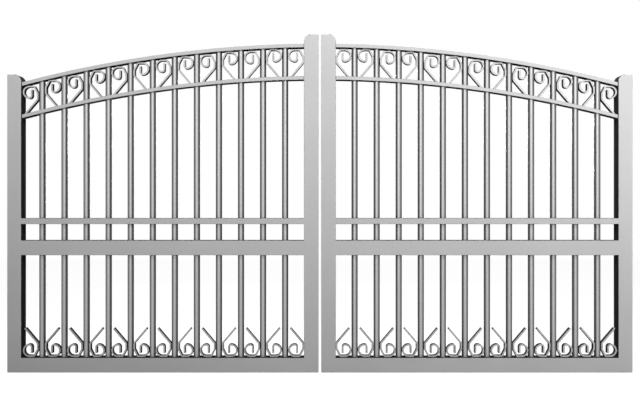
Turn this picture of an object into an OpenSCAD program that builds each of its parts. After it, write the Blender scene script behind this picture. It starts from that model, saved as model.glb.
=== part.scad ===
// Double swing gate in welded aluminium tube: two mirrored leaves, each hung
// on two pins. X runs along the gate, Y from the front to the back, Z up.
// The gate is laid out about its own centre line, with Z = 0 under the leaves
// and Y = 0 in the middle of their thickness. gate_frame() then moves it so
// that the origin is on the wall face of the lower left hinge bracket.

/* [Gate] */
// Width over both closed leaves
gate_w = 3378; // [3300:1:3450]
// Gap between the two meeting stiles
meeting_gap = 14; // [12:1:20]
// Height of the meeting stiles
meeting_h = 1829; // [1815:1:1860]
// Height of the hinge stiles
hinge_h = 1612; // [1600:1:1660]

/* [Frame tube] */
// Width of a hinge stile, seen from the front
hinge_stile_w = 76; // [74:1:80]
// Width of a meeting stile, seen from the front
meeting_stile_w = 79; // [74:1:82]
// Depth of the stiles and of the flush rails
frame_d = 70; // [66:1:74]
// Wall of the stiles and of the flush rails
frame_t = 3; // [2:0.5:4]
// Radius of the long edges
edge_r = 2; // [1.5:0.5:4]
// Height of the bottom rail and of the middle rail
rail_h = 80; // [70:1:85]
// Underside of the middle rail
mid_rail_z = 634; // [600:1:640]
// Underside of the upper rail
upper_rail_z = 802; // [790:1:820]
// Height of the upper rail
upper_rail_h = 32; // [28:1:36]

/* [Stile ends] */
// Height of a stile cap
cap_h = 44; // [42:1:50]
// Radius of the cap corner that faces the infill
cap_round = 40; // [24:1:41]
// Radius of the cap's other top edges
cap_edge = 6; // [4:0.5:8]
// Thickness of the plate that closes a stile's foot
foot_h = 5; // [4.5:0.5:8]
// Radius of the foot's lower edges, besides the one against the bottom rail
foot_edge = 4; // [2:0.5:4]

/* [Arched rails] */
// Radius of the upper edge of the arched rails
arch_r = 6340; // [6300:10:6400]
// Height of the top arch at the centre line
arch_top = 1779; // [1770:1:1785]
// Drop from the top arch to the lower arch
arch_drop = 175; // [170:1:180]
// Height of an arched rail
arch_h = 20; // [18:1:24]
// Depth of an arched rail
arch_d = 50; // [46:1:54]
// Wall of an arched rail
arch_t = 2; // [1.5:0.5:3]

/* [Pickets] */
// Number of pickets in a leaf
picket_n = 12; // [12:1:12]
// Diameter of a picket
picket_d = 34; // [30:1:36]
// Wall of a picket
picket_t = 1.5; // [1:0.5:2.5]
// Slack around a picket that passes through a rail
picket_slack = 0.2; // [0.1:0.1:0.5]

/* [Scrolls] */
// Thickness of the flat bar
bar_t = 9.5; // [8:0.5:10]
// Depth of the flat bar
bar_d = 28; // [20:1:30]
// Height of a scroll's curl
curl_h = 71.5; // [68:0.5:74]
// Gap between the top arch and the curl of a crown scroll in an even bay
crown_gap = 4.5; // [0:0.5:6]

/* [Hinges] */
// Gap between a hinge stile and the post or pillar beside it
post_gap = 25; // [25:1:35]
// Height of the lower hinge
lower_hinge_z = 200; // [180:5:300]
// Height of the upper hinge
upper_hinge_z = 1400; // [1200:5:1450]
// Pin centre, in from the leaf's outer side
pin_in = 20; // [18:1:26]
// Pin centre, behind the middle of the leaf
pin_back = 65; // [63:1:72]
// Diameter of the pin
pin_d = 16; // [14:1:20]
// Radial running clearance of the pin in the eye
pin_slack = 0.05; // [0.02:0.01:0.09]
// Thickness of the bracket's wall plate
plate_t = 8; // [6:1:10]
// Width of the wall plate, front to back
plate_w = 80; // [76:1:90]
// Height of the wall plate
plate_h = 130; // [120:5:150]
// Thickness of a bracket arm
arm_t = 10; // [8:1:12]
// Height of the eye's barrel
eye_h = 44; // [40:1:50]
// Outer diameter of the eye's barrel
eye_d = 30; // [28:1:34]
// Thickness of the eye's strap
strap_t = 6; // [5:1:8]
// Play between the eye and each bracket arm
eye_play = 1; // [0.5:0.5:2]
// Distance between the anchor holes, front to back
anchor_y = 50; // [46:1:54]
// Distance between the anchor holes, up and down
anchor_z = 100; // [96:1:104]
// Diameter of an anchor hole
anchor_d = 11; // [9:0.5:13]

/* [Hidden] */
$fn = 96;
// Reach of a cutting form past what it cuts
spare = 30;

// Left leaf, along X
leaf_x0 = -gate_w / 2;
leaf_x1 = -meeting_gap / 2;
clear_x0 = leaf_x0 + hinge_stile_w;
clear_x1 = leaf_x1 - meeting_stile_w;
picket_gap = (clear_x1 - clear_x0 - picket_n * picket_d) / (picket_n + 1);
picket_pitch = picket_gap + picket_d;
arch_centre_z = arch_top - arch_r;
arch_steps = 26;

// Scroll, in its own bay: u from the curl's side, v up from the flat end
scroll_play = 0.1;
scroll_w = picket_gap - 2 * scroll_play;
scroll_tail_u = 48;
scroll_flat_u = 62;
scroll_leg_slope = 1.178;
base_leg_v = 155.5;
crown_leg_v = 175;
// Levels of the tail's end, the shoulder and the knee, as shares of the curl
tail_share = 0.3;
shoulder_share = 0.59;
knee_share = 1.046;
curl_steps = 12;
tail_steps = 4;

// Hinges
pin_x = leaf_x0 + pin_in;
pin_y = pin_back;
wall_x = leaf_x0 - post_gap;
plate_y0 = pin_y - eye_d / 2 - 11;
plate_mid_y = plate_y0 + plate_w / 2;
arm_z = eye_h / 2 + eye_play;
arm_r = 15;
pin_head_d = 24;
pin_head_h = 5;
pin_tail = 4;
strap_w = 70;
strap_h = 64;
neck_w = 18;

// ---------------------------------------------------------------- rules

// Height of an arch of radius r about the arch centre, at x
function arch_z(x, r) = arch_centre_z + sqrt(r * r - x * x);

// Places along the infill at which the arches have a point
function arch_x(i) = clear_x0 + (clear_x1 - clear_x0) * i / arch_steps;

// Centre of picket k and left side of bay k
function picket_x(k) = clear_x0 + picket_gap + picket_d / 2 + k * picket_pitch;
function bay_x(k) = clear_x0 + k * picket_pitch;

// Points along an arch of radius r, lowered by drop
function arch_line(r, drop) =
    [for (i = [0 : arch_steps]) [arch_x(i), arch_z(arch_x(i), r) - drop]];
function reversed(points) = [for (i = [len(points) - 1 : -1 : 0]) points[i]];

// Outline of an arched band between two radii, lowered by drop
function arch_band(r_out, r_in, drop) =
    concat(arch_line(r_out, drop), reversed(arch_line(r_in, drop)));

// Outline of all that lies above the underside of the top arch
function above_top_arch() = concat(
    arch_line(arch_r - arch_h, 0),
    [[clear_x1, arch_top + spare], [clear_x0, arch_top + spare]]
);

// Outline of all that lies below the upper edge of the lower arch
function below_lower_arch() = concat(
    arch_line(arch_r, arch_drop),
    [[clear_x1, mid_rail_z], [clear_x0 - spare, mid_rail_z]],
    [[clear_x0 - spare, arch_z(clear_x0, arch_r) - arch_drop]]
);

function unit(v) = v / norm(v);
function left_of(v) = [-v[1], v[0]];

// Direction across a bent bar at point i of its centre line, long enough to
// keep the bar's thickness through the corner
function across(path, i) =
    let (
        n = len(path),
        a = unit(i > 0 ? path[i] - path[i - 1] : path[1] - path[0]),
        b = unit(i < n - 1 ? path[i + 1] - path[i] : path[n - 1] - path[n - 2]),
        m = unit(left_of(a) + left_of(b))
    )
    m / (m * left_of(a));

// Outline of a flat bar of thickness t along a centre line
function bar_outline(path, t) = concat(
    [for (i = [0 : len(path) - 1]) path[i] + across(path, i) * t / 2],
    [for (i = [len(path) - 1 : -1 : 0]) path[i] - across(path, i) * t / 2]
);

// Centre line of a scroll: tail, curl, flat, shoulder and leg
function scroll_path(leg_v) =
    let (
        half = bar_t / 2,
        big_r = curl_h / 2 - half,
        small_r = scroll_tail_u - curl_h / 2,
        top_v = curl_h - half,
        side_u = scroll_w - half,
        knee_v = knee_share * curl_h
    )
    concat(
        [[scroll_tail_u, tail_share * curl_h]],
        [for (i = [0 : tail_steps - 1]) let (a = 90 * i / tail_steps)
            [curl_h / 2 + small_r * cos(a), top_v - small_r + small_r * sin(a)]],
        [for (i = [0 : curl_steps]) let (a = 90 + 180 * i / curl_steps)
            [curl_h / 2 + big_r * cos(a), curl_h / 2 + big_r * sin(a)]],
        [[scroll_flat_u, half], [side_u, shoulder_share * curl_h], [side_u, knee_v]],
        [[side_u - (leg_v - knee_v) / scroll_leg_slope, leg_v]]
    );

// ---------------------------------------------------------------- places

// Moves the gate from its centre line to its mounting face
module gate_frame() {
    translate([-wall_x, -plate_mid_y, -lower_hinge_z]) children();
}

module left() {
    gate_frame() children();
}

module right() {
    gate_frame() mirror([1, 0, 0]) children();
}

// ---------------------------------------------------------------- shapes

// Upright solid bar from x0 to x1 with round long edges
module upright(x0, x1, z0, z1, inset = 0) {
    r = edge_r - inset > 0.5 ? edge_r - inset : 0.5;
    translate([0, 0, z0]) linear_extrude(z1 - z0)
        round_rect(x0 + inset, x1 - inset, -frame_d / 2 + inset, frame_d / 2 - inset, r);
}

// Level solid bar from x0 to x1 with round long edges
module level(x0, x1, z0, z1, inset = 0) {
    r = edge_r - inset > 0.5 ? edge_r - inset : 0.5;
    translate([x0, 0, 0]) rotate([90, 0, 90]) linear_extrude(x1 - x0)
        round_rect(-frame_d / 2 + inset, frame_d / 2 - inset, z0 + inset, z1 - inset, r);
}

// Rectangle with four round corners, from exact squares and circles
module round_rect(x0, x1, y0, y1, r) {
    translate([x0 + r, y0]) square([x1 - x0 - 2 * r, y1 - y0]);
    translate([x0, y0 + r]) square([x1 - x0, y1 - y0 - 2 * r]);
    for (x = [x0 + r, x1 - r], y = [y0 + r, y1 - r]) translate([x, y]) circle(r);
}

// The outer form of both stiles, against which the flush rails are coped
module stile_blanks() {
    upright(leaf_x0, clear_x0, -1, hinge_h);
    upright(clear_x1, leaf_x1, -1, meeting_h);
}

// A point set in X and Z, made solid over the depth d
module slab(points, d) {
    rotate([90, 0, 0]) translate([0, 0, -d / 2]) linear_extrude(d) polygon(points);
}

// ---------------------------------------------------------------- stiles

module stile(x0, x1, top) {
    color("gainsboro") difference() {
        upright(x0, x1, foot_h, top - cap_h);
        upright(x0, x1, foot_h - 1, top, frame_t);
    }
}

// Cap with one large round corner, on the infill side, and eased edges
module stile_cap(x0, x1, top, round_x) {
    z0 = top - cap_h;
    color("gainsboro") difference() {
        cap_form(x0, x1, z0, top, round_x, 0);
        cap_form(x0, x1, z0 - 1, top, round_x, frame_t);
    }
}

module cap_form(x0, x1, z0, z1, round_x, inset) {
    big = cap_round - inset;
    small = cap_edge - inset;
    intersection() {
        upright(x0, x1, z0, z1, inset);
        translate([0, frame_d / 2, 0]) rotate([90, 0, 0]) linear_extrude(frame_d)
            shoulders(x0 + inset, x1 - inset, z0, z1 - inset,
                round_x == x0 ? big : small, round_x == x1 ? big : small);
        translate([x0, 0, 0]) rotate([90, 0, 90]) linear_extrude(x1 - x0)
            shoulders(-frame_d / 2 + inset, frame_d / 2 - inset, z0, z1 - inset, small, small);
    }
}

// Rectangle with its two upper corners rounded
module shoulders(x0, x1, y0, y1, r_left, r_right) {
    low = y1 - max(r_left, r_right);
    translate([x0, y0]) square([x1 - x0, low - y0]);
    translate([x0 + r_left, y0]) square([x1 - x0 - r_left - r_right, y1 - y0]);
    translate([x0, y0]) square([r_left, y1 - r_left - y0]);
    translate([x1 - r_right, y0]) square([r_right, y1 - r_right - y0]);
    translate([x0 + r_left, y1 - r_left]) circle(r_left);
    translate([x1 - r_right, y1 - r_right]) circle(r_right);
}

// Foot with eased lower edges, square where it meets the bottom rail
module stile_foot(x0, x1, rail_x) {
    square_edge = 0.5;
    color("gainsboro") intersection() {
        upright(x0, x1, 0, foot_h);
        translate([0, frame_d / 2, foot_h]) mirror([0, 0, 1])
            rotate([90, 0, 0]) linear_extrude(frame_d)
            shoulders(x0, x1, 0, foot_h, rail_x == x0 ? square_edge : foot_edge,
                rail_x == x1 ? square_edge : foot_edge);
        translate([x0, 0, foot_h]) mirror([0, 0, 1])
            rotate([90, 0, 90]) linear_extrude(x1 - x0)
            shoulders(-frame_d / 2, frame_d / 2, 0, foot_h, foot_edge, foot_edge);
    }
}

module hinge_stile() stile(leaf_x0, clear_x0, hinge_h);
module hinge_cap() stile_cap(leaf_x0, clear_x0, hinge_h, clear_x0);
module hinge_foot() stile_foot(leaf_x0, clear_x0, clear_x0);
module meeting_stile() stile(clear_x1, leaf_x1, meeting_h);
module meeting_cap() stile_cap(clear_x1, leaf_x1, meeting_h, clear_x1);
module meeting_foot() stile_foot(clear_x1, leaf_x1, clear_x1);

// ---------------------------------------------------------------- rails

// Flush tube between the stiles, its ends coped round their edges
module flush_rail(z0, z1) {
    difference() {
        level(clear_x0 - edge_r, clear_x1 + edge_r, z0, z1);
        level(clear_x0 - edge_r - 1, clear_x1 + edge_r + 1, z0, z1, frame_t);
        stile_blanks();
    }
}

module bottom_rail() color("gainsboro") flush_rail(0, rail_h);
module mid_rail() color("gainsboro") flush_rail(mid_rail_z, mid_rail_z + rail_h);

module upper_rail() {
    color("gainsboro") difference() {
        flush_rail(upper_rail_z, upper_rail_z + upper_rail_h);
        picket_holes(upper_rail_z - 1, upper_rail_z + upper_rail_h + 1);
    }
}

module arch_rail(drop) {
    difference() {
        slab(arch_band(arch_r, arch_r - arch_h, drop), arch_d);
        slab(arch_band(arch_r - arch_t, arch_r - arch_h + arch_t, drop), arch_d - 2 * arch_t);
    }
}

module top_arch() color("gainsboro") arch_rail(0);

module lower_arch() {
    color("gainsboro") difference() {
        arch_rail(arch_drop);
        picket_holes(upper_rail_z, arch_top);
    }
}

// ---------------------------------------------------------------- pickets

module picket_holes(z0, z1) {
    for (k = [0 : picket_n - 1]) translate([picket_x(k), 0, z0])
        cylinder(d = picket_d + 2 * picket_slack, h = z1 - z0);
}

module pickets(z0, z1) {
    for (k = [0 : picket_n - 1]) translate([picket_x(k), 0, z0]) difference() {
        cylinder(d = picket_d, h = z1 - z0);
        translate([0, 0, -1]) cylinder(d = picket_d - 2 * picket_t, h = z1 - z0 + 2);
    }
}

module lower_pickets() color("gainsboro") pickets(rail_h, mid_rail_z);

// The upper pickets pass through the upper rail and the lower arch, and are
// cut to the underside of the top arch
module upper_pickets() {
    color("gainsboro") difference() {
        pickets(mid_rail_z + rail_h, arch_top);
        slab(above_top_arch(), picket_d + 2);
    }
}

// ---------------------------------------------------------------- scrolls

// Bay k of the leaf, in which every second scroll is turned the other way
module in_bay(k, v) {
    x0 = bay_x(k) + scroll_play;
    translate([x0 + (k % 2 == 0 ? 0 : scroll_w), 0, v])
        mirror([k % 2, 0, 0]) children();
}

// The base scrolls stand on the bottom rail
module base_scrolls() {
    color("gainsboro") for (k = [0 : picket_n]) in_bay(k, rail_h)
        slab(bar_outline(scroll_path(base_leg_v), bar_t), bar_d);
}

// Level of the flat end of crown scroll k under the top arch. In an even bay
// the round of the curl is nearest the arch, in an odd bay the corner of the
// flat touches it
function crown_top(k) =
    let (
        curl_r = curl_h / 2,
        lean = atan2(shoulder_share * curl_h - bar_t / 2, scroll_w - bar_t / 2 - scroll_flat_u),
        corner_u = scroll_flat_u + bar_t / 2 * tan(lean / 2)
    )
    k % 2 == 0
        ? arch_z(bay_x(k) + scroll_play + curl_r, arch_r - arch_h - crown_gap - curl_r) + curl_r
        : arch_z(bay_x(k) + scroll_play + scroll_w - corner_u, arch_r - arch_h);

// The crown scrolls hang from the top arch, and their legs are cut to the
// upper edge of the lower arch
module crown_scrolls() {
    color("gainsboro") difference() {
        for (k = [0 : picket_n]) in_bay(k, crown_top(k)) mirror([0, 0, 1])
            slab(bar_outline(scroll_path(crown_leg_v), bar_t), bar_d);
        slab(below_lower_arch(), bar_d + 2);
        slab(above_top_arch(), bar_d + 2);
    }
}

// ---------------------------------------------------------------- hinges

// Wall plate with two arms that hold the pin
module bracket(z) {
    color("silver") translate([0, 0, z]) difference() {
        union() {
            translate([wall_x, plate_y0, -plate_h / 2]) cube([plate_t, plate_w, plate_h]);
            for (s = [-1, 1]) translate([0, 0, s > 0 ? arm_z : -arm_z - arm_t]) {
                translate([wall_x + plate_t - 1, pin_y - arm_r, 0])
                    cube([pin_x - wall_x - plate_t + 1, 2 * arm_r, arm_t]);
                translate([pin_x, pin_y, 0]) cylinder(r = arm_r, h = arm_t);
            }
        }
        translate([pin_x, pin_y, -plate_h]) cylinder(d = pin_d, h = 2 * plate_h);
        for (y = [-1, 1], v = [-1, 1])
            translate([wall_x - 1, plate_mid_y + y * anchor_y / 2, v * anchor_z / 2])
                rotate([0, 90, 0]) cylinder(d = anchor_d, h = plate_t + 2);
    }
}

// Headed pin that drops through both arms and the eye
module hinge_pin(z) {
    color("silver") translate([pin_x, pin_y, z]) {
        translate([0, 0, -arm_z - arm_t - pin_tail])
            cylinder(d = pin_d, h = 2 * (arm_z + arm_t) + pin_tail);
        translate([0, 0, arm_z + arm_t]) cylinder(d = pin_head_d, h = pin_head_h);
    }
}

// Barrel with a neck and a strap that is bolted to the back of the stile
module eye(z) {
    strap_x0 = leaf_x0 + (hinge_stile_w - strap_w) / 2;
    back_y = frame_d / 2;
    color("silver") translate([0, 0, z]) difference() {
        union() {
            translate([strap_x0, back_y, -strap_h / 2]) cube([strap_w, strap_t, strap_h]);
            translate([pin_x - neck_w / 2, back_y + strap_t - 1, -eye_h / 2])
                cube([neck_w, pin_y - back_y - strap_t + 1, eye_h]);
            translate([pin_x, pin_y, -eye_h / 2]) cylinder(d = eye_d, h = eye_h);
        }
        translate([pin_x, pin_y, -strap_h])
            cylinder(d = pin_d + 2 * pin_slack, h = 2 * strap_h);
    }
}

// ---------------------------------------------------------------- gate

left() bracket(lower_hinge_z);  // left_lower_bracket
left() hinge_pin(lower_hinge_z);  // left_lower_pin
left() bracket(upper_hinge_z);  // left_upper_bracket
left() hinge_pin(upper_hinge_z);  // left_upper_pin
right() bracket(lower_hinge_z);  // right_lower_bracket
right() hinge_pin(lower_hinge_z);  // right_lower_pin
right() bracket(upper_hinge_z);  // right_upper_bracket
right() hinge_pin(upper_hinge_z);  // right_upper_pin

left() eye(lower_hinge_z);  // left_lower_eye
left() eye(upper_hinge_z);  // left_upper_eye
left() hinge_stile();  // left_hinge_stile
left() hinge_cap();  // left_hinge_cap
left() hinge_foot();  // left_hinge_foot
left() meeting_stile();  // left_meeting_stile
left() meeting_cap();  // left_meeting_cap
left() meeting_foot();  // left_meeting_foot
left() bottom_rail();  // left_bottom_rail
left() mid_rail();  // left_mid_rail
left() upper_rail();  // left_upper_rail
left() lower_arch();  // left_lower_arch
left() top_arch();  // left_top_arch
left() lower_pickets();  // left_lower_pickets
left() upper_pickets();  // left_upper_pickets
left() base_scrolls();  // left_base_scrolls
left() crown_scrolls();  // left_crown_scrolls

right() eye(lower_hinge_z);  // right_lower_eye
right() eye(upper_hinge_z);  // right_upper_eye
right() hinge_stile();  // right_hinge_stile
right() hinge_cap();  // right_hinge_cap
right() hinge_foot();  // right_hinge_foot
right() meeting_stile();  // right_meeting_stile
right() meeting_cap();  // right_meeting_cap
right() meeting_foot();  // right_meeting_foot
right() bottom_rail();  // right_bottom_rail
right() mid_rail();  // right_mid_rail
right() upper_rail();  // right_upper_rail
right() lower_arch();  // right_lower_arch
right() top_arch();  // right_top_arch
right() lower_pickets();  // right_lower_pickets
right() upper_pickets();  // right_upper_pickets
right() base_scrolls();  // right_base_scrolls
right() crown_scrolls();  // right_crown_scrolls
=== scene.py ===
"""Looks for an arched double swing gate in satin aluminium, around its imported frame."""

import math

import bmesh
import bpy
from mathutils import Matrix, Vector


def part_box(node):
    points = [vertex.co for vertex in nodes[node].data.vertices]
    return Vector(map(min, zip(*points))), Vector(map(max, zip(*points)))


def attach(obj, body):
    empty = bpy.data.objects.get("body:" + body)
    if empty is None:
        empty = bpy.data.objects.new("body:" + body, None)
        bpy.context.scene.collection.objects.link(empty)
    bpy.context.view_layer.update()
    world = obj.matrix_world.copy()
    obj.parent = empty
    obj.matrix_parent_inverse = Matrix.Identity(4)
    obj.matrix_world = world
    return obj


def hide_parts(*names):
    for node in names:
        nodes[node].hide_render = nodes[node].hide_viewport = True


MM = 0.001

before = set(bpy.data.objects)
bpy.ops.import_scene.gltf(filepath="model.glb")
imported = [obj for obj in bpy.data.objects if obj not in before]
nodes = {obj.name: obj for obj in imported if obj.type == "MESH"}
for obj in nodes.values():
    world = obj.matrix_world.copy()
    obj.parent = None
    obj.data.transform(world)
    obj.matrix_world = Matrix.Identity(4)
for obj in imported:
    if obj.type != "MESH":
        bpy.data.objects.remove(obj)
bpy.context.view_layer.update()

# ------------------------------------------------------------ places and sizes
STILE_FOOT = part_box("left_hinge_foot")[0]
CENTRE_X = (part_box("left_meeting_stile")[1].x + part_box("right_meeting_stile")[0].x) / 2
FRONT_Y = STILE_FOOT.y
BACK_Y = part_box("left_hinge_stile")[1].y
MIDDLE_Y = (FRONT_Y + BACK_Y) / 2
GATE_FOOT = STILE_FOOT.z
INFILL_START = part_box("left_hinge_stile")[1].x
INFILL_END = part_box("left_meeting_stile")[0].x
FRAME_DEPTH = BACK_Y - FRONT_Y
FRAME_EDGE = 2 * MM
CAP_ROUND = 40 * MM

# Arched rails: radius of the upper edge, the section, and how far they run into the stiles
ARCH_RADIUS = 6340 * MM
ARCH_HEIGHT = 20 * MM
ARCH_DEPTH = 50 * MM
ARCH_EDGE = 2 * MM
ARCH_TUCK = 4 * MM

# Pickets, the bays between them, and the weld beads
PICKET_COUNT = 12
PICKET_RADIUS = 17 * MM
BEAD = 1.8 * MM
BAY = (INFILL_END - INFILL_START - PICKET_COUNT * 2 * PICKET_RADIUS) / (PICKET_COUNT + 1)
PITCH = BAY + 2 * PICKET_RADIUS
FIRST_PICKET = INFILL_START + BAY + PICKET_RADIUS

# Scrolls, bent from flat bar: u runs from the curl's side, v from the flat end.
# The shares are of the curl's height: end of the tail, shoulder and knee.
BAR_THICK = 9.5 * MM
BAR_DEEP = 28 * MM
BAR_EDGE = 1.2 * MM
BAR_PLAY = 0.1 * MM
SCROLL_WIDTH = BAY - 2 * BAR_PLAY
TAIL_U = 48 * MM
FLAT_U = 62 * MM
LEG_SLOPE = 1.178
CURL = 71.5 * MM
CROWN_GAP = 4.5 * MM
TAIL_SHARE, SHOULDER_SHARE, KNEE_SHARE = 0.3, 0.59, 1.046
BASE_LEG = 155.5 * MM
CROWN_LEG_EVEN, CROWN_LEG_ODD = 162 * MM, 159.2 * MM
HEEL_BEND = 9 * MM
LEG_BEND = 14 * MM

# Hinge fittings: straps, their bolts, and the rings on the pins.
# Outlines are radii and heights in millimetres.
STRAP_THICK = 6 * MM
BOLT_INSETS = (34 * MM, 11 * MM)
BOLT_RISE = 20 * MM
BOLT_DISC = ((0, -0.2), (8, -0.2), (8, 1.2), (7.6, 1.6), (0, 1.6))
BOLT_HEAD = ((0, 1.5), (7.5, 1.5), (7.5, 6.3), (6.6, 6.9), (0, 6.9))
WASHER = (8.2 * MM, 14 * MM, 0.4 * MM, 0.1 * MM)
WASHER_RISE = 22.5 * MM
CLIP = (7.8 * MM, 10.5 * MM, 0.6 * MM, 0.2 * MM)
CLIP_RISE = 2 * MM

# Stage: how far the camera and the lamps stand from the gate, and how bright
# the surroundings are where they are seen and where they only add light
FLOOR_DROP = 50 * MM
FLOOR_REACH = 9.0
FLOOR_PAINT = 0.15
FLOOR_WHITE = 0.97
CAMERA_BACK = 4.13
CAMERA_ASIDE = 0.7 * MM
FIELD_WIDTH = 3.456
EYE_HEIGHT = 0.9134
AMBIENT = 0.01
LIGHT_BACK = 5.0

# Front lamps: height in degrees, brightness and softness. They fade over a width and a
# height, from a share at the lower left, with gains to the right, upwards and both ways.
FRONT_LAMPS = (("low", 8, 0.48, 0.1), ("high", 48, 0.664, 0.4))
LIT_WIDTH, LIT_HEIGHT = 5.0, 3.68
FRONT_FADE = (0.11, 0.080, 0.849, 1.034)


# ------------------------------------------------------------ node trees
class Value:
    """An output of a node, on which arithmetic adds Math nodes."""

    def __init__(self, plan, socket):
        self.plan = plan
        self.socket = socket

    def out(self, name):
        return Value(self.plan, self.socket.node.outputs[name])

    def math(self, operation, *others):
        return self.plan.math(operation, self, *others)

    def __add__(self, other):
        return self.plan.math("ADD", self, other)

    def __radd__(self, other):
        return self.plan.math("ADD", other, self)

    def __sub__(self, other):
        return self.plan.math("SUBTRACT", self, other)

    def __rsub__(self, other):
        return self.plan.math("SUBTRACT", other, self)

    def __mul__(self, other):
        return self.plan.math("MULTIPLY", self, other)

    def __rmul__(self, other):
        return self.plan.math("MULTIPLY", other, self)

    def __truediv__(self, other):
        return self.plan.math("DIVIDE", self, other)

    def __neg__(self):
        return self.plan.math("MULTIPLY", self, -1.0)

    def root(self):
        return self.plan.math("SQRT", self)

    def max(self, other):
        return self.plan.math("MAXIMUM", self, other)

    def min(self, other):
        return self.plan.math("MINIMUM", self, other)


class Plan:
    """A node tree of a finish, a lamp, the world or a shape, filled one node at a time."""

    def __init__(self, tree):
        self.tree = tree
        tree.nodes.clear()

    def node(self, kind, settings=None, values=None, out=0):
        made = self.tree.nodes.new(kind)
        for key, value in (settings or {}).items():
            setattr(made, key, value)
        for key, value in (values or {}).items():
            self.feed(made.inputs[key], value)
        return Value(self, made.outputs[out]) if len(made.outputs) else None

    def feed(self, socket, value):
        if isinstance(value, Value):
            self.tree.links.new(value.socket, socket)
        else:
            socket.default_value = value

    def math(self, operation, *terms):
        return self.node("ShaderNodeMath", {"operation": operation}, dict(enumerate(terms)))

    def vector(self, x, y, z):
        return self.node("ShaderNodeCombineXYZ", {}, {0: x, 1: y, 2: z})

    def split(self, vector):
        parts = self.node("ShaderNodeSeparateXYZ", {}, {0: vector})
        return parts.out("X"), parts.out("Y"), parts.out("Z")


def grey(level):
    return (level, level, level, 1)


# ------------------------------------------------------------ stage
def seen_straight(plan):
    """1 for rays that meet the background straight, in a gloss or through glass."""
    path = plan.node("ShaderNodeLightPath")
    seen = path.out("Is Camera Ray").max(path.out("Is Glossy Ray"))
    return seen.max(path.out("Is Transmission Ray"))


def make_world():
    world = bpy.data.worlds.new("studio")
    world.use_nodes = True
    bpy.context.scene.world = world
    plan = Plan(world.node_tree)
    dim = plan.node("ShaderNodeBackground", {}, {"Color": grey(1), "Strength": AMBIENT})
    white = plan.node("ShaderNodeBackground", {}, {"Color": grey(1), "Strength": 1.0})
    mixed = plan.node("ShaderNodeMixShader", {}, {0: seen_straight(plan), 1: dim, 2: white})
    plan.node("ShaderNodeOutputWorld", {}, {"Surface": mixed})


def make_camera():
    data = bpy.data.cameras.new("camera")
    data.lens = data.sensor_width * CAMERA_BACK / FIELD_WIDTH
    camera = bpy.data.objects.new("camera", data)
    camera.location = (CENTRE_X + CAMERA_ASIDE, FRONT_Y - CAMERA_BACK, GATE_FOOT + EYE_HEIGHT)
    camera.rotation_euler = (math.radians(90), 0, 0)
    bpy.context.scene.collection.objects.link(camera)
    bpy.context.scene.camera = camera


def panel(name, aim, azimuth, height, size, level, spread):
    """A gridded softbox that shines at a spot; level is how bright it makes white card."""
    width, tall = size
    data = bpy.data.lights.new(name, "AREA")
    data.shape = "RECTANGLE"
    data.size = width
    data.size_y = tall
    data.energy = level * math.pi * width * tall
    data.spread = math.radians(spread)
    lamp = bpy.data.objects.new(name, data)
    turn = math.radians(azimuth)
    rise = math.radians(height)
    lamp.location = (
        aim[0] + LIGHT_BACK * math.sin(turn) * math.cos(rise),
        aim[1] - LIGHT_BACK * math.cos(turn) * math.cos(rise),
        aim[2] + LIGHT_BACK * math.sin(rise),
    )
    lamp.rotation_euler = (math.pi / 2 - rise, 0, turn)
    lamp.visible_camera = False
    bpy.context.scene.collection.objects.link(lamp)


def beam(name, aim, height, level, soft):
    """A spotlight from the front, with a filter that evens it out over the gate and fades it."""
    rise = math.radians(height)
    data = bpy.data.lights.new(name, "SPOT")
    data.energy = level * (2 * math.pi * LIGHT_BACK) ** 2
    data.spot_size = math.radians(60)
    data.spot_blend = 0.1
    data.shadow_soft_size = soft
    lamp = bpy.data.objects.new(name, data)
    lamp.location = (aim[0], aim[1] - LIGHT_BACK * math.cos(rise), aim[2] + LIGHT_BACK * math.sin(rise))
    lamp.rotation_euler = (math.pi / 2 - rise, 0, 0)
    lamp.visible_camera = False
    bpy.context.scene.collection.objects.link(lamp)
    data.use_nodes = True
    plan = Plan(data.node_tree)
    right, up, back = plan.split(plan.node("ShaderNodeTexCoord").out("Normal"))
    across, over = -right / back, -up / back
    above = over * LIGHT_BACK / (math.cos(rise) + over * math.sin(rise))
    ahead = LIGHT_BACK - above * math.sin(rise)
    reach = (1.0 + across * across + over * over).root() * ahead / LIGHT_BACK
    part = across * ahead / LIT_WIDTH + 0.5
    part_up = above / LIT_HEIGHT + 0.5
    even, by_width, by_height, by_both = FRONT_FADE
    shade = even + part * by_width + part_up * by_height + part * part_up * by_both
    strength = shade.max(0.0) * reach * reach * reach / math.cos(rise)
    shine = plan.node("ShaderNodeEmission", {}, {"Strength": strength})
    plan.node("ShaderNodeOutputLight", {}, {"Surface": shine})


def make_lamps():
    heart = (CENTRE_X, FRONT_Y, GATE_FOOT + EYE_HEIGHT)
    middle = (CENTRE_X, MIDDLE_Y, GATE_FOOT + EYE_HEIGHT)
    for name, height, level, soft in FRONT_LAMPS:
        beam(name, heart, height, level, soft)
    panel("back", heart, 180, 8, (5.0, 3.4), 0.85, 5)
    for name, azimuth in (("left", -92), ("right", 92)):
        panel(name, middle, azimuth, 30, (4.4, 3.4), 0.55, 1)


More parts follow.
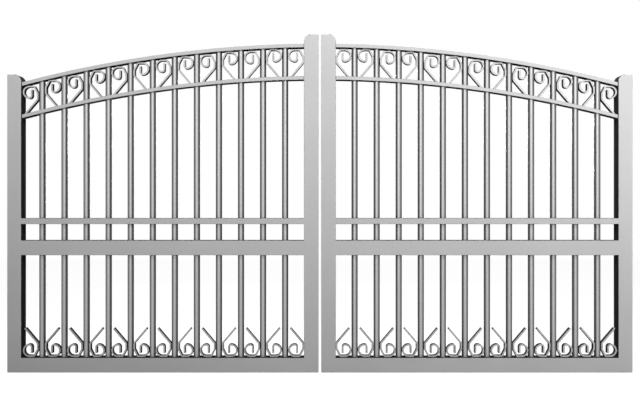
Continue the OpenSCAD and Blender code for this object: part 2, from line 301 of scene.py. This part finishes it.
def make_floor():
    mesh = bpy.data.meshes.new("floor")
    z = GATE_FOOT - FLOOR_DROP
    corners = [
        (CENTRE_X + x * FLOOR_REACH, MIDDLE_Y + y * FLOOR_REACH, z)
        for x, y in ((-1, -1), (1, -1), (1, 1), (-1, 1))
    ]
    mesh.from_pydata(corners, [], [(0, 1, 2, 3)])
    floor = bpy.data.objects.new("floor", mesh)
    bpy.context.scene.collection.objects.link(floor)
    finish = bpy.data.materials.new("pale_floor")
    finish.use_nodes = True
    plan = Plan(finish.node_tree)
    paint = plan.node("ShaderNodeBsdfDiffuse", {}, {"Color": grey(FLOOR_PAINT)})
    glow = seen_straight(plan) * FLOOR_WHITE
    white = plan.node("ShaderNodeEmission", {}, {"Color": grey(1), "Strength": glow})
    both = plan.node("ShaderNodeAddShader", {}, {0: paint, 1: white})
    plan.node("ShaderNodeOutputMaterial", {}, {"Surface": both})
    mesh.materials.append(finish)


# ------------------------------------------------------------ finishes
def speckle(plan, place, size, detail=2.0):
    """Noise about 0, from -0.5 to 0.5, with grains of a given size."""
    noise = plan.node(
        "ShaderNodeTexNoise", {}, {"Vector": place, "Scale": 1 / size, "Detail": detail}
    )
    return noise - 0.5


def drawn_lines(plan, along, side, other, fine=1.1 * MM, long=170 * MM):
    """Noise about 0 that runs in fine straight lines along a bar or tube."""
    place = plan.vector(along / long, side / fine, other / fine)
    return plan.node("ShaderNodeTexNoise", {}, {"Vector": place, "Scale": 1.0, "Detail": 2.0}) - 0.5


def ramp(plan, value, start, end):
    """0 below start, 1 above end, even between."""
    return plan.node("ShaderNodeMapRange", {}, {"Value": value, "From Min": start, "From Max": end})


def on_face(plan, place, half_depth, edge):
    """1 on the gate's front and back faces, 0 from a little further in, where the sides get painted
    shade.
    """
    off = (plan.split(place)[1] - MIDDLE_Y).math("ABSOLUTE")
    return ramp(plan, off, half_depth - edge, half_depth - edge * 0.02)


def on_stile_rim(plan, place):
    """1 on the outer side and top of a stile, which keep the lit tone; 0 where it faces the infill and
    gets painted shade.
    """
    off = (plan.split(place)[0] - CENTRE_X).math("ABSOLUTE")
    inwards = (off - (CENTRE_X - INFILL_END)).min((CENTRE_X - INFILL_START) - off)
    return ramp(plan, -inwards, 0.6 * CAP_ROUND, CAP_ROUND)


def on_arch_rim(plan, place):
    """1 on top of the top arch, which keeps the lit tone; 0 below it, where off the faces it gets painted
    shade.
    """
    x, _, z = plan.split(place)
    across, up = x - CENTRE_X, z - ARCH_CENTRE
    return ramp(plan, (across * across + up * up).root(), ARCH_RADIUS - 1.0 * MM, ARCH_RADIUS - 0.2 * MM)


def metal_finish(
    name, tone, draw, metallic=0.0, rough=0.5, gloss=0.0, depth=0.1 * MM, sides=None
):
    """A finish whose tone, roughness and relief vary as draw() says.

    sides = (tone, half depth, edge, rim) paints shade: the sides that face into
    the infill, the tops and undersides, and the flanks of pickets take the dark
    tone as painted shade, while the front and back, and the leaf's rim where rim
    says so, keep the lit tone.
    """
    finish = bpy.data.materials.new(name)
    finish.use_nodes = True
    plan = Plan(finish.node_tree)
    place = plan.node("ShaderNodeTexCoord").out("Object")
    shade, wear, relief = draw(plan, place)
    colour = plan.node(
        "ShaderNodeMix",
        {"data_type": "RGBA"},
        {0: shade + 0.5, 6: grey(tone * 0.9), 7: grey(tone * 1.1)},
        out=2,
    )
    if sides:
        painted_shade_tone, half_depth, edge, rim = sides
        keeps_lit_tone = on_face(plan, place, half_depth, edge)
        if rim:
            keeps_lit_tone = keeps_lit_tone.max(rim(plan, place))
        # Painted shade: the dark tone on the sides, the lit tone on the faces and the rim.
        colour = plan.node(
            "ShaderNodeMix", {"data_type": "RGBA"}, {0: keeps_lit_tone, 6: grey(painted_shade_tone), 7: colour}, out=2
        )
    bump = plan.node("ShaderNodeBump", {}, {"Strength": 0.5, "Distance": depth, "Height": relief})
    shader = plan.node(
        "ShaderNodeBsdfPrincipled",
        {},
        {
            "Base Color": colour,
            "Metallic": metallic,
            "Roughness": wear + rough,
            "Specular IOR Level": gloss,
            "Normal": bump,
        },
    )
    plan.node("ShaderNodeOutputMaterial", {}, {"Surface": shader})
    return finish


def tube_draw(direction):
    """Marks of a drawn tube under satin anodising, along one direction."""

    def draw(plan, place):
        x, y, z = plan.split(place)
        if direction == "level":
            lines = drawn_lines(plan, x, y, z)
        elif direction == "upright":
            lines = drawn_lines(plan, z, x, y)
        else:
            across = x - CENTRE_X
            up = z - ARCH_CENTRE
            along = across.math("ARCTAN2", up) * ARCH_RADIUS
            lines = drawn_lines(plan, along, (across * across + up * up).root(), y)
        blast = speckle(plan, place, 1.6 * MM)
        cloud = speckle(plan, place, 240 * MM)
        return lines * 0.5 + cloud * 0.5, cloud * 0.12 + lines * 0.1, lines * 0.6 + blast * 0.4

    return draw


def bent_bar_draw(plan, place):
    """Bead blasted bar, a little uneven from bending."""
    blast = speckle(plan, place, 1.3 * MM)
    dents = speckle(plan, place, 14 * MM)
    return blast * 0.4 + dents * 0.5, dents * 0.15, blast * 0.5 + dents * 0.8


def weld_draw(plan, place):
    """Brushed weld metal with fine ripples."""
    ripple = speckle(plan, place, 1.8 * MM, 3.0)
    return ripple * 1.2, ripple * 0.3, ripple


def ground_steel_draw(plan, place):
    """Ground stainless steel with its grain level."""
    x, y, z = plan.split(place)
    grain = drawn_lines(plan, x + y, z, z * 0.3, 0.7 * MM, 40 * MM)
    cloud = speckle(plan, place, 35 * MM)
    return grain * 0.6 + cloud * 0.5, grain * 0.25 + cloud * 0.2, grain


def turned_steel_draw(plan, place):
    """Turned steel with fine rings about an upright axis."""
    x, y, z = plan.split(place)
    rings = drawn_lines(plan, x + y, z, z * 0.2, 0.5 * MM, 30 * MM)
    return rings * 0.5, rings * 0.3, rings


# ------------------------------------------------------------ shapes by rule
SOCKET_KINDS = {
    float: "NodeSocketFloat",
    int: "NodeSocketInt",
    bpy.types.Material: "NodeSocketMaterial",
}


def grow(name, sizes, draw, line=None):
    """Runs a Geometry Nodes tree with named sizes and returns its plain mesh."""
    tree = bpy.data.node_groups.new(name, "GeometryNodeTree")
    tree.interface.new_socket(name="Line", in_out="INPUT", socket_type="NodeSocketGeometry")
    keys = {}
    for label, value in sizes.items():
        kind = SOCKET_KINDS[type(value)]
        keys[label] = tree.interface.new_socket(name=label, in_out="INPUT", socket_type=kind)
    tree.interface.new_socket(name="Shape", in_out="OUTPUT", socket_type="NodeSocketGeometry")
    plan = Plan(tree)
    given = plan.node("NodeGroupInput")
    whole = plan.node("GeometryNodeRealizeInstances", {}, {"Geometry": draw(plan, given)})
    dressed = plan.node(
        "GeometryNodeSetMaterial", {}, {"Geometry": whole, "Material": given.out("Finish")}
    )
    plan.node("NodeGroupOutput", {}, {"Shape": dressed})
    start = line or bpy.data.meshes.new(name + "_line")
    maker = bpy.data.objects.new(name + "_maker", start)
    bpy.context.scene.collection.objects.link(maker)
    rule = maker.modifiers.new("rule", "NODES")
    rule.node_group = tree
    for label, value in sizes.items():
        rule[keys[label].identifier] = value
    ready = maker.evaluated_get(bpy.context.evaluated_depsgraph_get())
    mesh = bpy.data.meshes.new_from_object(ready)
    bpy.data.objects.remove(maker)
    outward(mesh)
    dress(mesh, sizes["Finish"])
    return mesh


def row_of_spots(plan, count, place):
    """A number of spots, each set where place says from its index."""
    row = plan.node(
        "GeometryNodeMeshLine",
        {"mode": "OFFSET"},
        {"Count": count, "Start Location": (0, 0, 0), "Offset": (0, 0, 0)},
    )
    return plan.node("GeometryNodeSetPosition", {}, {"Geometry": row, "Position": place})


def dress(mesh, finish):
    """Gives every face of a mesh one finish."""
    mesh.materials.clear()
    mesh.materials.append(finish)
    mesh.polygons.foreach_set("material_index", [0] * len(mesh.polygons))


def outward(mesh):
    """Turns every face of a closed shape outwards and lets it shade smooth."""
    shape = bmesh.new()
    shape.from_mesh(mesh)
    bmesh.ops.recalc_face_normals(shape, faces=shape.faces)
    for face in shape.faces:
        face.smooth = True
    shape.to_mesh(mesh)
    shape.free()


def mirrored(mesh):
    """The right leaf's copy of a left leaf's mesh."""
    twin = mesh.copy()
    twin.transform(Matrix.Translation((2 * CENTRE_X, 0, 0)) @ Matrix.Diagonal((-1, 1, 1, 1)))
    twin.flip_normals()
    return twin


def add_piece(name, mesh, body, replaced=None):
    """Shows a finished mesh on a body, in place of a node where one is named."""
    piece = bpy.data.objects.new(name, mesh)
    bpy.context.scene.collection.objects.link(piece)
    shade = piece.modifiers.new("even shading", "WEIGHTED_NORMAL")
    shade.keep_sharp = True
    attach(piece, body)
    if replaced:
        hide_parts(replaced)
    return piece


def on_both_leaves(name, mesh, replaced=None):
    """Adds a left leaf's piece and its mirror image on the right leaf."""
    for side, shape in (("left", mesh), ("right", mirrored(mesh))):
        node = side + "_" + replaced if replaced else None
        add_piece(side + "_" + name, shape, side + "_leaf", node)


# ------------------------------------------------------------ arched rails
def arch_centre(node):
    """Height of the centre about which an arched rail is bent."""
    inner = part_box(node)[1]
    return inner.z - math.sqrt(ARCH_RADIUS ** 2 - (CENTRE_X - inner.x) ** 2)


ARCH_CENTRE = arch_centre("left_top_arch")
LOWER_ARCH_CENTRE = arch_centre("left_lower_arch")


def section(plan, width, height, edge, count):
    """Outline of a bar or tube with rounded edges."""
    box = plan.node("GeometryNodeCurvePrimitiveQuadrilateral", {}, {"Width": width, "Height": height})
    return plan.node(
        "GeometryNodeFilletCurve", {"mode": "POLY"}, {"Curve": box, "Radius": edge, "Count": count}
    )


def swept(plan, line, outline):
    """A level bar section swept along a line that lies in the gate's plane."""
    steady = plan.node(
        "GeometryNodeSetCurveNormal", {"mode": "FREE"}, {"Curve": line, "Normal": (0, 1, 0)}
    )
    return plan.node(
        "GeometryNodeCurveToMesh", {}, {"Curve": steady, "Profile Curve": outline, "Fill Caps": True}
    )


def draw_arch(plan, given):
    """A rail bent to one radius, from stile to stile."""
    straight = plan.node("GeometryNodeCurvePrimitiveLine")
    spots = plan.node("GeometryNodeResampleCurve", {}, {"Curve": straight, "Count": given.out("Steps")})
    part = plan.node("GeometryNodeSplineParameter").out("Factor")
    x = given.out("Start") + (given.out("End") - given.out("Start")) * part
    middle = given.out("Radius") - given.out("Height") / 2
    off = x - given.out("Centre X")
    z = given.out("Centre Z") + (middle * middle - off * off).root()
    bow = plan.node(
        "GeometryNodeSetPosition", {}, {"Geometry": spots, "Position": plan.vector(x, given.out("Y"), z)}
    )
    outline = section(plan, given.out("Depth"), given.out("Height"), given.out("Edge"), 4)
    return swept(plan, bow, outline)


def make_arch(name, node, centre, finish):
    sizes = {
        "Start": INFILL_START - ARCH_TUCK,
        "End": INFILL_END + ARCH_TUCK,
        "Steps": 61,
        "Radius": ARCH_RADIUS,
        "Centre X": CENTRE_X,
        "Centre Z": centre,
        "Y": MIDDLE_Y,
        "Height": ARCH_HEIGHT,
        "Depth": ARCH_DEPTH,
        "Edge": ARCH_EDGE,
        "Finish": finish,
    }
    on_both_leaves(name, grow(name, sizes, draw_arch), node)


# ------------------------------------------------------------ scrolls
def arc(u, v, radius, first, last, steps):
    """Points of an arc about (u, v), between two angles in degrees."""
    turns = [math.radians(first + (last - first) * i / steps) for i in range(steps + 1)]
    return [(u + radius * math.cos(turn), v + radius * math.sin(turn)) for turn in turns]


def eased(before, corner, after, radius, steps=4):
    """Points of a bend of a given radius in place of a corner."""
    a = (before[0] - corner[0], before[1] - corner[1])
    b = (after[0] - corner[0], after[1] - corner[1])
    long_a, long_b = math.hypot(*a), math.hypot(*b)
    half = math.acos((a[0] * b[0] + a[1] * b[1]) / (long_a * long_b)) / 2
    reach = min(radius / math.tan(half), 0.45 * long_a, 0.45 * long_b)
    first = [corner[i] + a[i] / long_a * reach for i in (0, 1)]
    last = [corner[i] + b[i] / long_b * reach for i in (0, 1)]
    bend = []
    for step in range(steps + 1):
        t = step / steps
        bend.append(tuple(
            (1 - t) ** 2 * first[i] + 2 * t * (1 - t) * corner[i] + t * t * last[i] for i in (0, 1)
        ))
    return bend


def scroll_line(leg):
    """Middle line of a bent bar: tail, curl, flat, shoulder, knee and leg."""
    half = BAR_THICK / 2
    big = CURL / 2 - half
    small = TAIL_U - CURL / 2
    top = CURL - half
    side = SCROLL_WIDTH - half
    knee = KNEE_SHARE * CURL
    foot = (side - (leg - knee) / LEG_SLOPE, leg)
    shoulder_at = (side, SHOULDER_SHARE * CURL)
    points = [(TAIL_U, TAIL_SHARE * CURL)]
    points += arc(CURL / 2, top - small, small, 0, 90, 5)
    points += arc(CURL / 2, CURL / 2, big, 90, 270, 22)[1:]
    points += eased(points[-1], (FLAT_U, half), shoulder_at, HEEL_BEND)
    points += eased((FLAT_U, half), shoulder_at, (side, knee), LEG_BEND)
    points += eased(shoulder_at, (side, knee), foot, LEG_BEND)
    points.append(foot)
    return points


def line_mesh(name, points):
    """A line through points in the gate's plane."""
    mesh = bpy.data.meshes.new(name)
    mesh.from_pydata([(u, 0, v) for u, v in points], [(i, i + 1) for i in range(len(points) - 1)], [])
    return mesh


def bay_spots(plan, given, odd, level):
    """One spot at the left side of every second bay, at the height that level gives."""
    number = plan.node("GeometryNodeInputIndex")
    start = given.out("First bay") + given.out("Pitch") * number
    place = plan.vector(start, given.out("Y"), level(given, start, odd))
    spots = row_of_spots(plan, given.out("Bays"), place)
    other = number.math("MODULO", 2.0).math("COMPARE", 0.0 if odd else 1.0, 0.1)
    return plan.node(
        "GeometryNodeDeleteGeometry", {"domain": "POINT"}, {"Geometry": spots, "Selection": other}
    )


def base_level(given, start, odd):
    """Level of the flat end, on the bottom rail."""
    return given.out("Rail top")


def crown_level(given, start, odd):
    """Level of the flat end, from where the curl is under the arch or the flat meets it."""
    under = given.out("Radius") - given.out("Height")
    if odd:
        off = start + given.out("Corner") - given.out("Centre X")
        return given.out("Centre Z") + (under * under - off * off).root()
    curl = given.out("Curl") / 2
    off = start + curl - given.out("Centre X")
    reach = under - given.out("Gap") - curl
    return given.out("Centre Z") + curl + (reach * reach - off * off).root()


def scroll_draw(level, odd, upside_down):
    """Bent bars in every second bay; those in odd bays face the other way."""

    def draw(plan, given):
        line = plan.node("GeometryNodeMeshToCurve", {}, {"Mesh": given.out("Line")})
        placed = plan.node(
            "GeometryNodeTransform",
            {},
            {
                "Geometry": line,
                "Translation": (SCROLL_WIDTH if odd else 0, 0, 0),
                "Scale": (-1 if odd else 1, 1, -1 if upside_down else 1),
            },
        )
        outline = section(plan, given.out("Depth"), given.out("Thickness"), given.out("Edge"), 2)
        bar = swept(plan, placed, outline)
        spots = bay_spots(plan, given, odd, level)
        return plan.node("GeometryNodeInstanceOnPoints", {}, {"Points": spots, "Instance": bar})

    return draw


def scroll_sizes(finish):
    """Named sizes of a row of scrolls; Corner is where a bar's outside turns up."""
    corner_lean = math.atan2(
        SHOULDER_SHARE * CURL - BAR_THICK / 2, SCROLL_WIDTH - BAR_THICK / 2 - FLAT_U
    )
    return {
        "Bays": PICKET_COUNT + 1,
        "First bay": INFILL_START + BAR_PLAY,
        "Pitch": PITCH,
        "Y": MIDDLE_Y,
        "Thickness": BAR_THICK,
        "Depth": BAR_DEEP,
        "Edge": BAR_EDGE,
        "Curl": CURL,
        "Gap": CROWN_GAP,
        "Corner": SCROLL_WIDTH - FLAT_U - BAR_THICK / 2 * math.tan(corner_lean / 2),
        "Rail top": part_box("left_bottom_rail")[1].z,
        "Radius": ARCH_RADIUS,
        "Height": ARCH_HEIGHT,
        "Centre X": CENTRE_X,
        "Centre Z": ARCH_CENTRE,
        "Finish": finish,
    }


def joined(name, meshes, finish):
    """One mesh from several, with one finish."""
    shape = bmesh.new()
    for mesh in meshes:
        shape.from_mesh(mesh)
    whole = bpy.data.meshes.new(name)
    shape.to_mesh(whole)
    shape.free()
    dress(whole, finish)
    return whole


def make_scrolls(name, node, legs, level, upside_down, finish):
    """A row of scrolls that face left and right by turns."""
    halves = []
    for odd, leg in zip((False, True), legs):
        line = line_mesh(name + "_line", scroll_line(leg))
        draw = scroll_draw(level, odd, upside_down)
        halves.append(grow(name + ("_odd" if odd else "_even"), scroll_sizes(finish), draw, line))
    on_both_leaves(name, joined(name, halves, finish), node)


# ------------------------------------------------------------ welds
def bead_profile(plan, given):
    """A weld bead cut across, with four corners."""
    sizes = {"Resolution": 4, "Radius": given.out("Bead")}
    return plan.node("GeometryNodeCurvePrimitiveCircle", {}, sizes)


def weld_ring_draw(bowed):
    """A thin bead round each picket, on a level face or on an arched one."""

    def draw(plan, given):
        x = given.out("First") + given.out("Pitch") * plan.node("GeometryNodeInputIndex")
        height = 0.0 if bowed else given.out("Level")
        place = plan.vector(x, given.out("Y"), height)
        spots = row_of_spots(plan, given.out("Count"), place)
        loop = plan.node(
            "GeometryNodeCurvePrimitiveCircle", {}, {"Resolution": 14, "Radius": given.out("Ring")}
        )
        bead = plan.node(
            "GeometryNodeCurveToMesh", {}, {"Curve": loop, "Profile Curve": bead_profile(plan, given)}
        )
        rings = plan.node("GeometryNodeInstanceOnPoints", {}, {"Points": spots, "Instance": bead})
        if not bowed:
            return rings
        loose = plan.node("GeometryNodeRealizeInstances", {}, {"Geometry": rings})
        off = plan.split(plan.node("GeometryNodeInputPosition"))[0] - given.out("Centre X")
        rise = given.out("Level") + (given.out("Radius") * given.out("Radius") - off * off).root()
        return plan.node(
            "GeometryNodeSetPosition", {}, {"Geometry": loose, "Offset": plan.vector(0, 0, rise)}
        )

    return draw


def weld_loop_draw(plan, given):
    """A bead round the end of an arched rail, where it meets a stile."""
    ends = plan.node("GeometryNodeMeshLine", {"mode": "END_POINTS"}, {
        "Count": 2,
        "Start Location": plan.vector(given.out("Start"), given.out("Y"), given.out("Low")),
        "Offset": plan.vector(given.out("End"), given.out("Y"), given.out("High")),
    })
    outline = section(plan, given.out("Depth"), given.out("Height"), given.out("Edge"), 2)
    upright = plan.node(
        "GeometryNodeTransform", {}, {"Geometry": outline, "Rotation": (math.pi / 2, 0, math.pi / 2)}
    )
    bead = plan.node(
        "GeometryNodeCurveToMesh", {}, {"Curve": upright, "Profile Curve": bead_profile(plan, given)}
    )
    return plan.node("GeometryNodeInstanceOnPoints", {}, {"Points": ends, "Instance": bead})


def arch_middle(centre, x):
    """Height of the middle of an arched rail at x."""
    return centre + math.sqrt((ARCH_RADIUS - ARCH_HEIGHT / 2) ** 2 - (x - CENTRE_X) ** 2)


def make_welds(finish):
    """Beads where pickets meet rails and arches, and where arches meet stiles."""
    common = {
        "Count": PICKET_COUNT, "First": FIRST_PICKET, "Pitch": PITCH, "Y": MIDDLE_Y,
        "Ring": PICKET_RADIUS, "Bead": BEAD, "Finish": finish,
    }
    levels = [
        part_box("left_bottom_rail")[1].z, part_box("left_mid_rail")[0].z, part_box("left_mid_rail")[1].z,
        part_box("left_upper_rail")[0].z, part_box("left_upper_rail")[1].z,
    ]
    rings = [grow("weld_rings", {**common, "Level": level}, weld_ring_draw(False)) for level in levels]
    faces = [
        (LOWER_ARCH_CENTRE, ARCH_RADIUS - ARCH_HEIGHT), (LOWER_ARCH_CENTRE, ARCH_RADIUS),
        (ARCH_CENTRE, ARCH_RADIUS - ARCH_HEIGHT),
    ]
    for centre, radius in faces:
        sizes = {**common, "Level": centre, "Radius": radius, "Centre X": CENTRE_X}
        rings.append(grow("weld_rings", sizes, weld_ring_draw(True)))
    on_both_leaves("picket_welds", joined("picket_welds", rings, finish))
    loops = []
    for centre in (LOWER_ARCH_CENTRE, ARCH_CENTRE):
        sizes = {
            "Start": INFILL_START, "End": INFILL_END, "Y": MIDDLE_Y,
            "Low": arch_middle(centre, INFILL_START), "High": arch_middle(centre, INFILL_END),
            "Depth": ARCH_DEPTH, "Height": ARCH_HEIGHT, "Edge": ARCH_EDGE,
            "Bead": BEAD, "Finish": finish,
        }
        loops.append(grow("weld_loops", sizes, weld_loop_draw))
    on_both_leaves("arch_welds", joined("arch_welds", loops, finish))


# ------------------------------------------------------------ hinge fittings
def turned(outline, spot, steps, turn=None):
    """A closed shape spun about its own axis from a list of radii and heights."""
    shape = bmesh.new()
    rings = []
    for radius, height in outline:
        if radius:
            angles = [2 * math.pi * (i + 0.5) / steps for i in range(steps)]
            corners = [(radius * math.cos(angle), radius * math.sin(angle), height) for angle in angles]
        else:
            corners = [(0, 0, height)]
        rings.append([shape.verts.new(corner) for corner in corners])
    pairs = list(zip(rings, rings[1:]))
    if outline[0][0]:
        pairs.append((rings[-1], rings[0]))
    for low, high in pairs:
        for i in range(steps):
            j = (i + 1) % steps
            face = [low[i % len(low)], low[j % len(low)], high[j % len(high)], high[i % len(high)]]
            shape.faces.new(list(dict.fromkeys(face)))
    if turn:
        shape.transform(turn)
    bmesh.ops.translate(shape, verts=shape.verts, vec=spot)
    bmesh.ops.recalc_face_normals(shape, faces=shape.faces)
    for face in shape.faces:
        face.smooth = True
    for edge in shape.edges:
        edge.smooth = edge.calc_face_angle(0) < math.radians(35)
    mesh = bpy.data.meshes.new("turned")
    shape.to_mesh(mesh)
    shape.free()
    return mesh


def ring_outline(inner, outer, half, edge):
    """Section of a flat ring with bevelled edges, level with its middle."""
    return [
        (inner, edge - half), (inner + edge, -half), (outer - edge, -half), (outer, edge - half),
        (outer, half - edge), (outer - edge, half), (inner + edge, half), (inner, half - edge),
    ]


def make_bolts(end_x, back_y, middle):
    """Four hex bolts with discs under their heads, on the back of a strap."""
    backwards = Matrix.Rotation(math.radians(-90), 4, "X")
    bolts = []
    for inset in BOLT_INSETS:
        for rise in (-BOLT_RISE, BOLT_RISE):
            spot = (end_x - inset, back_y + STRAP_THICK, middle + rise)
            for outline, steps in ((BOLT_DISC, 24), (BOLT_HEAD, 6)):
                sizes = [(radius * MM, height * MM) for radius, height in outline]
                bolts.append(turned(sizes, spot, steps, backwards))
    return bolts


def make_hinge_fittings(bolt_steel, ring_steel):
    """Hex bolts on the straps, and the rings on each pin."""
    bolts, washers, clips = [], [], []
    for place in ("lower", "upper"):
        low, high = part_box("left_" + place + "_eye")
        middle = (low.z + high.z) / 2
        bolts += make_bolts(high.x, low.y, middle)
        pin_low, pin_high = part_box("left_" + place + "_pin")
        axis = ((pin_low.x + pin_high.x) / 2, (pin_low.y + pin_high.y) / 2)
        for rise in (-WASHER_RISE, WASHER_RISE):
            washers.append(turned(ring_outline(*WASHER), (*axis, middle + rise), 40))
        clips.append(turned(ring_outline(*CLIP), (*axis, pin_low.z + CLIP_RISE), 40))
    on_both_leaves("strap_bolts", joined("strap_bolts", bolts, bolt_steel))
    for name, meshes in (("pin_washers", washers), ("pin_clips", clips)):
        shape = joined(name, meshes, ring_steel)
        for side, copy in (("left", shape), ("right", mirrored(shape))):
            add_piece(side + "_" + name, copy, "hinge_brackets")


# ------------------------------------------------------------ the gate
bpy.context.scene.view_settings.view_transform = "Standard"
make_world()
make_camera()
make_lamps()
make_floor()

# Painted shade on sides, tops and undersides: the dark tone, half the depth, how far in the lit tone
# reaches, and the rim that keeps the lit tone
stile_painted_shade = (0.03, FRAME_DEPTH / 2, 0.3 * FRAME_EDGE, on_stile_rim)
rail_painted_shade = (0.03, FRAME_DEPTH / 2, 0.3 * FRAME_EDGE, None)
arch_painted_shade = (0.06, ARCH_DEPTH / 2, 0.3 * ARCH_EDGE, on_arch_rim)
bar_painted_shade = (0.05, BAR_DEEP / 2, 0.3 * BAR_EDGE, None)
# Pickets: painted shade on the flanks, which leaves a painted highlight strip down the front and back
picket_painted_shade = (0.07, PICKET_RADIUS, 0.32 * PICKET_RADIUS, None)

rail_satin = metal_finish("rail_satin", 0.5, tube_draw("level"), sides=rail_painted_shade)
stile_satin = metal_finish("stile_satin", 0.5, tube_draw("upright"), sides=stile_painted_shade)
arch_satin = metal_finish("arch_satin", 0.5, tube_draw("arched"), sides=arch_painted_shade)
picket_satin = metal_finish(
    "picket_satin", 0.31, tube_draw("upright"), metallic=1.0, rough=0.55, sides=picket_painted_shade
)
bar_satin = metal_finish("bar_satin", 0.52, bent_bar_draw, depth=0.15 * MM, sides=bar_painted_shade)
weld_satin = metal_finish("weld_satin", 0.16, weld_draw, depth=0.2 * MM)
bolt_steel = metal_finish("bolt_steel", 0.55, turned_steel_draw, 1.0, 0.34, 0.5, 0.03 * MM)
hinge_steel = metal_finish("hinge_steel", 0.45, ground_steel_draw, 1.0, 0.38, 0.5, 0.05 * MM)
pin_steel = metal_finish("pin_steel", 0.6, turned_steel_draw, 1.0, 0.28, 0.5, 0.03 * MM)

FINISHES = {
    "stile": stile_satin, "cap": stile_satin, "foot": stile_satin, "rail": rail_satin,
    "arch": arch_satin, "pickets": picket_satin, "scrolls": bar_satin,
    "bracket": hinge_steel, "eye": hinge_steel, "pin": pin_steel,
}
for node_name, shape in nodes.items():
    shape.data.materials.clear()
    shape.data.materials.append(FINISHES[node_name.rsplit("_", 1)[1]])

make_arch("bent_top_rail", "top_arch", ARCH_CENTRE, arch_satin)
make_arch("bent_lower_rail", "lower_arch", LOWER_ARCH_CENTRE, arch_satin)
make_scrolls("bent_base_bars", "base_scrolls", (BASE_LEG, BASE_LEG), base_level, False, bar_satin)
crown_legs = (CROWN_LEG_EVEN, CROWN_LEG_ODD)
make_scrolls("bent_crown_bars", "crown_scrolls", crown_legs, crown_level, True, bar_satin)

make_welds(weld_satin)
make_hinge_fittings(bolt_steel, pin_steel)
